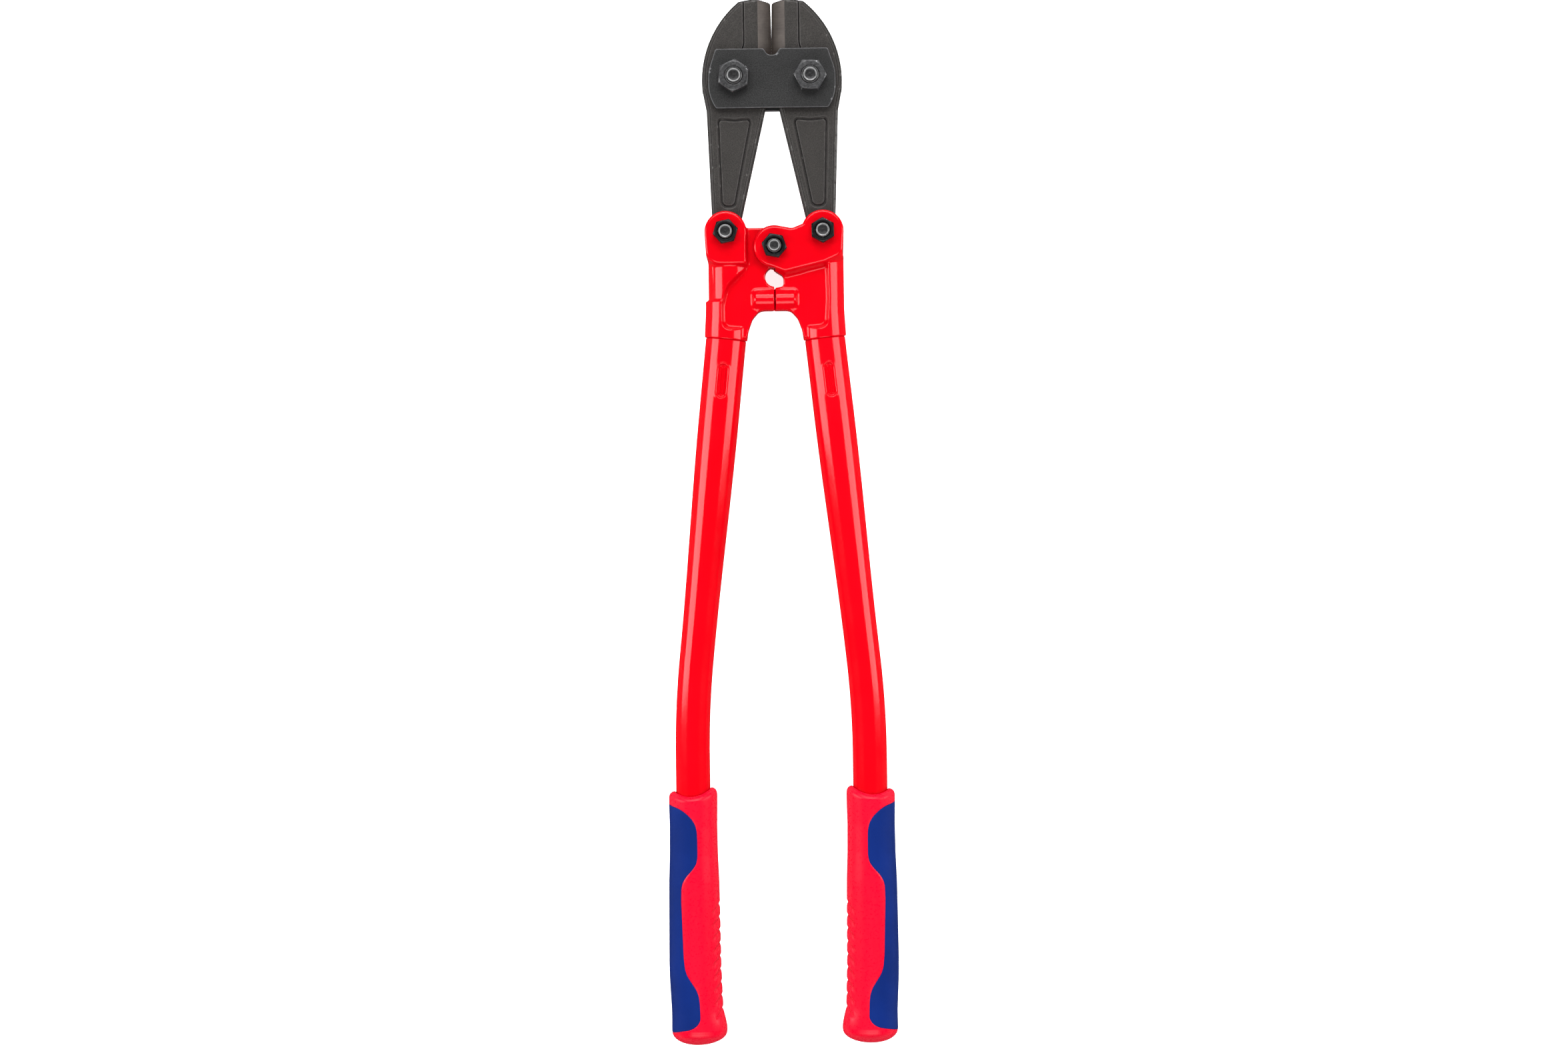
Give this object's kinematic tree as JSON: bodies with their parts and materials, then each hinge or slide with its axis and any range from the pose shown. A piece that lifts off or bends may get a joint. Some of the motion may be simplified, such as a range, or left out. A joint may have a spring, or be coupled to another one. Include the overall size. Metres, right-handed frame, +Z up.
{
  "type": "bolt cutters",
  "caption": "Long-handled bolt cutters: forged jaws held by bolted link plates, compound toggle handles of red tube with cast heads, and two-tone grips; lies flat, jaws closed.",
  "frame": {"origin": "under the centre pivot, in the plane of the bolt heads' faces that the tool lies on", "axes": "+Y from the handles towards the jaws, +Z up from the bench to the nut side, +X to the right seen from the nut side"},
  "size_m": [0.1344, 0.6097, 0.0419],
  "materials": {
    "jaw_steel": "dark phosphated, satin, ground bare on the blade flanks",
    "plate_steel": "blackened, satin",
    "bolt_steel": "oiled dark steel, satin",
    "nut_steel": "burnished dark steel, satin",
    "black_nut": "black oxide, satin",
    "red_paint": "gloss powder coat",
    "grip_red": "satin",
    "inlay_blue": "soft, fine grained"
  },
  "bodies": {
    "link": {"link_plate_front": "plate_steel", "link_plate_back": "plate_steel", "jaw_bolt_left": "bolt_steel", "jaw_bolt_right": "bolt_steel", "jaw_nut_left": "nut_steel", "jaw_nut_right": "nut_steel"},
    "left_jaw": {"jaw_left": "jaw_steel"},
    "right_jaw": {"jaw_right": "jaw_steel"},
    "left_handle": {"head_left": "red_paint", "tube_left": "red_paint", "grip_left": "grip_red", "inlay_left": "inlay_blue", "outer_bolt_left": "bolt_steel", "outer_nut_left": "black_nut"},
    "right_handle": {"head_right": "red_paint", "tube_right": "red_paint", "grip_right": "grip_red", "inlay_right": "inlay_blue", "outer_bolt_right": "bolt_steel", "outer_nut_right": "black_nut", "centre_bolt": "bolt_steel", "centre_nut": "black_nut"}
  },
  "joints": [
    {"name": "left_jaw_pivot", "type": "hinge", "parent": "link", "child": "left_jaw", "pos_m": [-0.02225, 0.0989, 0.0192], "axis": [0, 0, 1], "range_deg": [0, 8.5]},
    {"name": "right_jaw_pivot", "type": "hinge", "parent": "link", "child": "right_jaw", "pos_m": [0.02225, 0.0989, 0.0192], "axis": [0, 0, -1], "range_deg": [0, 8.5]},
    {"name": "left_handle_pivot", "type": "hinge", "parent": "left_jaw", "child": "left_handle", "pos_m": [-0.0283, 0.0086, 0.0192], "axis": [0, 0, -1], "range_deg": [0, 54]},
    {"name": "right_handle_pivot", "type": "hinge", "parent": "right_jaw", "child": "right_handle", "pos_m": [0.0283, 0.0086, 0.0192], "axis": [0, 0, 1], "range_deg": [0, 54]}
  ],
  "couplings": [
    {"joint": "left_jaw_pivot", "follows": "left_handle_pivot", "ratio": 0.1569},
    {"joint": "right_jaw_pivot", "follows": "left_handle_pivot", "ratio": 0.1569},
    {"joint": "right_handle_pivot", "follows": "left_handle_pivot", "ratio": 1}
  ]
}
